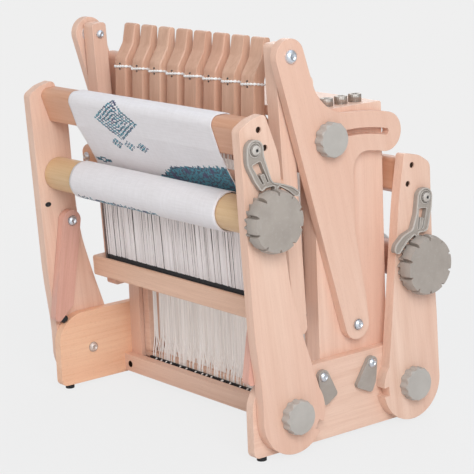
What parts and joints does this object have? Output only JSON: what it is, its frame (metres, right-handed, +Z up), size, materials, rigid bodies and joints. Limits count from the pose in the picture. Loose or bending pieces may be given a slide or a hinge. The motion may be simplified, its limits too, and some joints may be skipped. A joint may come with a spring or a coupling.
{
  "type": "table_loom",
  "caption": "Folding wooden table loom, folded for carrying, with hand levers, sliding shafts, hanging beater and reed, cloth and warp rollers with ratchets",
  "frame": {"origin": "middle of the folded loom's box, at the table under its feet", "axes": "+Z up, +X to the side with the ratchet wheels, -Y to the weaver"},
  "size_m": [0.467, 0.2964, 0.4745],
  "materials": {
    "wood": "satin",
    "steel": "satin",
    "taupe_plastic": "satin",
    "rubber": "matte",
    "cloth": "matte",
    "warp": "matte"
  },
  "bodies": {
    "root": {"base_side_left": "wood", "base_side_right": "wood", "base_rails": "wood", "rubber_feet": "rubber", "base_bolts": "steel", "castle_side_left": "wood", "castle_side_right": "wood", "castle_top": "wood", "lever_rod": "steel", "cord_guides": "taupe_plastic"},
    "lever_1": {"lever_1": "wood"},
    "lever_2": {"lever_2": "wood"},
    "lever_3": {"lever_3": "wood"},
    "lever_4": {"lever_4": "wood"},
    "lever_5": {"lever_5": "wood"},
    "lever_6": {"lever_6": "wood"},
    "lever_7": {"lever_7": "wood"},
    "lever_8": {"lever_8": "wood"},
    "shaft_1": {"shaft_1": "wood"},
    "shaft_2": {"shaft_2": "wood"},
    "shaft_3": {"shaft_3": "wood"},
    "shaft_4": {"shaft_4": "wood"},
    "shaft_5": {"shaft_5": "wood"},
    "shaft_6": {"shaft_6": "wood"},
    "shaft_7": {"shaft_7": "wood"},
    "shaft_8": {"shaft_8": "wood"},
    "beater_plates": {"beater_plate_left": "wood", "beater_plate_right": "wood", "hinge_bolts": "steel"},
    "beater": {"beater_arm_left": "wood", "beater_arm_right": "wood", "beater_rail_lower": "wood", "beater_rail_upper": "wood", "reed": "steel", "rail_bolts": "steel", "bumpers": "rubber"},
    "front_frame": {"front_post_left": "wood", "front_post_right": "wood", "front_beam": "wood", "cloth": "cloth", "front_screws": "steel"},
    "struts": {"front_struts": "wood", "strut_tips": "rubber"},
    "cloth_winder": {"cloth_roller": "wood", "cloth_roll": "cloth", "front_ratchet": "taupe_plastic"},
    "front_pawl": {"front_pawl": "taupe_plastic"},
    "rear_frame": {"rear_post_left": "wood", "rear_post_right": "wood", "rear_beam": "wood", "rear_screws": "steel"},
    "warp_winder": {"warp_roller": "wood", "warp_roll": "warp", "rear_ratchet": "taupe_plastic"},
    "rear_pawl": {"rear_pawl": "taupe_plastic"},
    "front_knobs": {"front_knobs": "taupe_plastic"},
    "rear_knobs": {"rear_knobs": "taupe_plastic"},
    "plate_knobs": {"plate_knobs": "taupe_plastic"},
    "front_catches": {"front_catches": "taupe_plastic"},
    "rear_catches": {"rear_catches": "taupe_plastic"}
  },
  "joints": [
    {"name": "front_fold", "type": "hinge", "parent": "root", "child": "front_frame", "pos_m": [0, -0.08325, 0.049], "axis": [1, 0, 0], "range_deg": [0, 60]},
    {"name": "plate_fold", "type": "hinge", "parent": "root", "child": "beater_plates", "pos_m": [0, 0.02725, 0.132], "axis": [1, 0, 0], "range_deg": [0, 22]},
    {"name": "beater_swing", "type": "hinge", "parent": "beater_plates", "child": "beater", "pos_m": [0, -0.06105, 0.4545], "axis": [-1, 0, 0], "range_deg": [0, 24.5]},
    {"name": "strut_fold", "type": "hinge", "parent": "front_frame", "child": "struts", "pos_m": [0, -0.10375, 0.22], "axis": [-1, 0, 0], "range_deg": [0, 48]},
    {"name": "rear_fold", "type": "hinge", "parent": "root", "child": "rear_frame", "pos_m": [0, 0.09875, 0.0485], "axis": [-1, 0, 0], "range_deg": [0, 60]},
    {"name": "lever_1_pull", "type": "hinge", "parent": "root", "child": "lever_1", "pos_m": [0, -0.03075, 0.352], "axis": [1, 0, 0], "range_deg": [0, 38]},
    {"name": "shaft_1_lift", "type": "slide", "parent": "root", "child": "shaft_1", "axis": [0, 0, 1], "range_m": [0, 0.04]},
    {"name": "lever_2_pull", "type": "hinge", "parent": "root", "child": "lever_2", "pos_m": [0, -0.03075, 0.352], "axis": [1, 0, 0], "range_deg": [0, 38]},
    {"name": "shaft_2_lift", "type": "slide", "parent": "root", "child": "shaft_2", "axis": [0, 0, 1], "range_m": [0, 0.04]},
    {"name": "lever_3_pull", "type": "hinge", "parent": "root", "child": "lever_3", "pos_m": [0, -0.03075, 0.352], "axis": [1, 0, 0], "range_deg": [0, 38]},
    {"name": "shaft_3_lift", "type": "slide", "parent": "root", "child": "shaft_3", "axis": [0, 0, 1], "range_m": [0, 0.04]},
    {"name": "lever_4_pull", "type": "hinge", "parent": "root", "child": "lever_4", "pos_m": [0, -0.03075, 0.352], "axis": [1, 0, 0], "range_deg": [0, 38]},
    {"name": "shaft_4_lift", "type": "slide", "parent": "root", "child": "shaft_4", "axis": [0, 0, 1], "range_m": [0, 0.04]},
    {"name": "lever_5_pull", "type": "hinge", "parent": "root", "child": "lever_5", "pos_m": [0, -0.03075, 0.352], "axis": [1, 0, 0], "range_deg": [0, 38]},
    {"name": "shaft_5_lift", "type": "slide", "parent": "root", "child": "shaft_5", "axis": [0, 0, 1], "range_m": [0, 0.04]},
    {"name": "lever_6_pull", "type": "hinge", "parent": "root", "child": "lever_6", "pos_m": [0, -0.03075, 0.352], "axis": [1, 0, 0], "range_deg": [0, 38]},
    {"name": "shaft_6_lift", "type": "slide", "parent": "root", "child": "shaft_6", "axis": [0, 0, 1], "range_m": [0, 0.04]},
    {"name": "lever_7_pull", "type": "hinge", "parent": "root", "child": "lever_7", "pos_m": [0, -0.03075, 0.352], "axis": [1, 0, 0], "range_deg": [0, 38]},
    {"name": "shaft_7_lift", "type": "slide", "parent": "root", "child": "shaft_7", "axis": [0, 0, 1], "range_m": [0, 0.04]},
    {"name": "lever_8_pull", "type": "hinge", "parent": "root", "child": "lever_8", "pos_m": [0, -0.03075, 0.352], "axis": [1, 0, 0], "range_deg": [0, 38]},
    {"name": "shaft_8_lift", "type": "slide", "parent": "root", "child": "shaft_8", "axis": [0, 0, 1], "range_m": [0, 0.04]},
    {"name": "cloth_roller_turn", "type": "hinge", "parent": "front_frame", "child": "cloth_winder", "pos_m": [0, -0.11225, 0.281], "axis": [1, 0, 0], "continuous": true},
    {"name": "front_pawl_lift", "type": "hinge", "parent": "front_frame", "child": "front_pawl", "pos_m": [0, -0.13225, 0.3625], "axis": [1, 0, 0], "range_deg": [0, 30]},
    {"name": "warp_roller_turn", "type": "hinge", "parent": "rear_frame", "child": "warp_winder", "pos_m": [0, 0.11225, 0.192], "axis": [1, 0, 0], "continuous": true},
    {"name": "rear_pawl_lift", "type": "hinge", "parent": "rear_frame", "child": "rear_pawl", "pos_m": [0, 0.11925, 0.2715], "axis": [-1, 0, 0], "range_deg": [0, 30]},
    {"name": "front_knobs_turn", "type": "hinge", "parent": "root", "child": "front_knobs", "pos_m": [0, -0.08325, 0.049], "axis": [1, 0, 0], "range_deg": [0, 180]},
    {"name": "rear_knobs_turn", "type": "hinge", "parent": "root", "child": "rear_knobs", "pos_m": [0, 0.09875, 0.0485], "axis": [1, 0, 0], "range_deg": [0, 180]},
    {"name": "plate_knobs_turn", "type": "hinge", "parent": "root", "child": "plate_knobs", "pos_m": [0, -0.00973, 0.35536], "axis": [1, 0, 0], "range_deg": [0, 180]},
    {"name": "front_catches_swing", "type": "hinge", "parent": "root", "child": "front_catches", "pos_m": [0, -0.03175, 0.082], "axis": [1, 0, 0], "range_deg": [0, 95]},
    {"name": "rear_catches_swing", "type": "hinge", "parent": "root", "child": "rear_catches", "pos_m": [0, 0.04325, 0.083], "axis": [-1, 0, 0], "range_deg": [0, 95]}
  ],
  "couplings": [
    {"joint": "plate_fold", "follows": "front_fold", "ratio": 0.3667},
    {"joint": "beater_swing", "follows": "front_fold", "ratio": 0.4083},
    {"joint": "strut_fold", "follows": "front_fold", "ratio": 0.8},
    {"joint": "shaft_1_lift", "follows": "lever_1_pull", "m_per_rad": 0.0603},
    {"joint": "shaft_2_lift", "follows": "lever_2_pull", "m_per_rad": 0.0603},
    {"joint": "shaft_3_lift", "follows": "lever_3_pull", "m_per_rad": 0.0603},
    {"joint": "shaft_4_lift", "follows": "lever_4_pull", "m_per_rad": 0.0603},
    {"joint": "shaft_5_lift", "follows": "lever_5_pull", "m_per_rad": 0.0603},
    {"joint": "shaft_6_lift", "follows": "lever_6_pull", "m_per_rad": 0.0603},
    {"joint": "shaft_7_lift", "follows": "lever_7_pull", "m_per_rad": 0.0603},
    {"joint": "shaft_8_lift", "follows": "lever_8_pull", "m_per_rad": 0.0603}
  ]
}
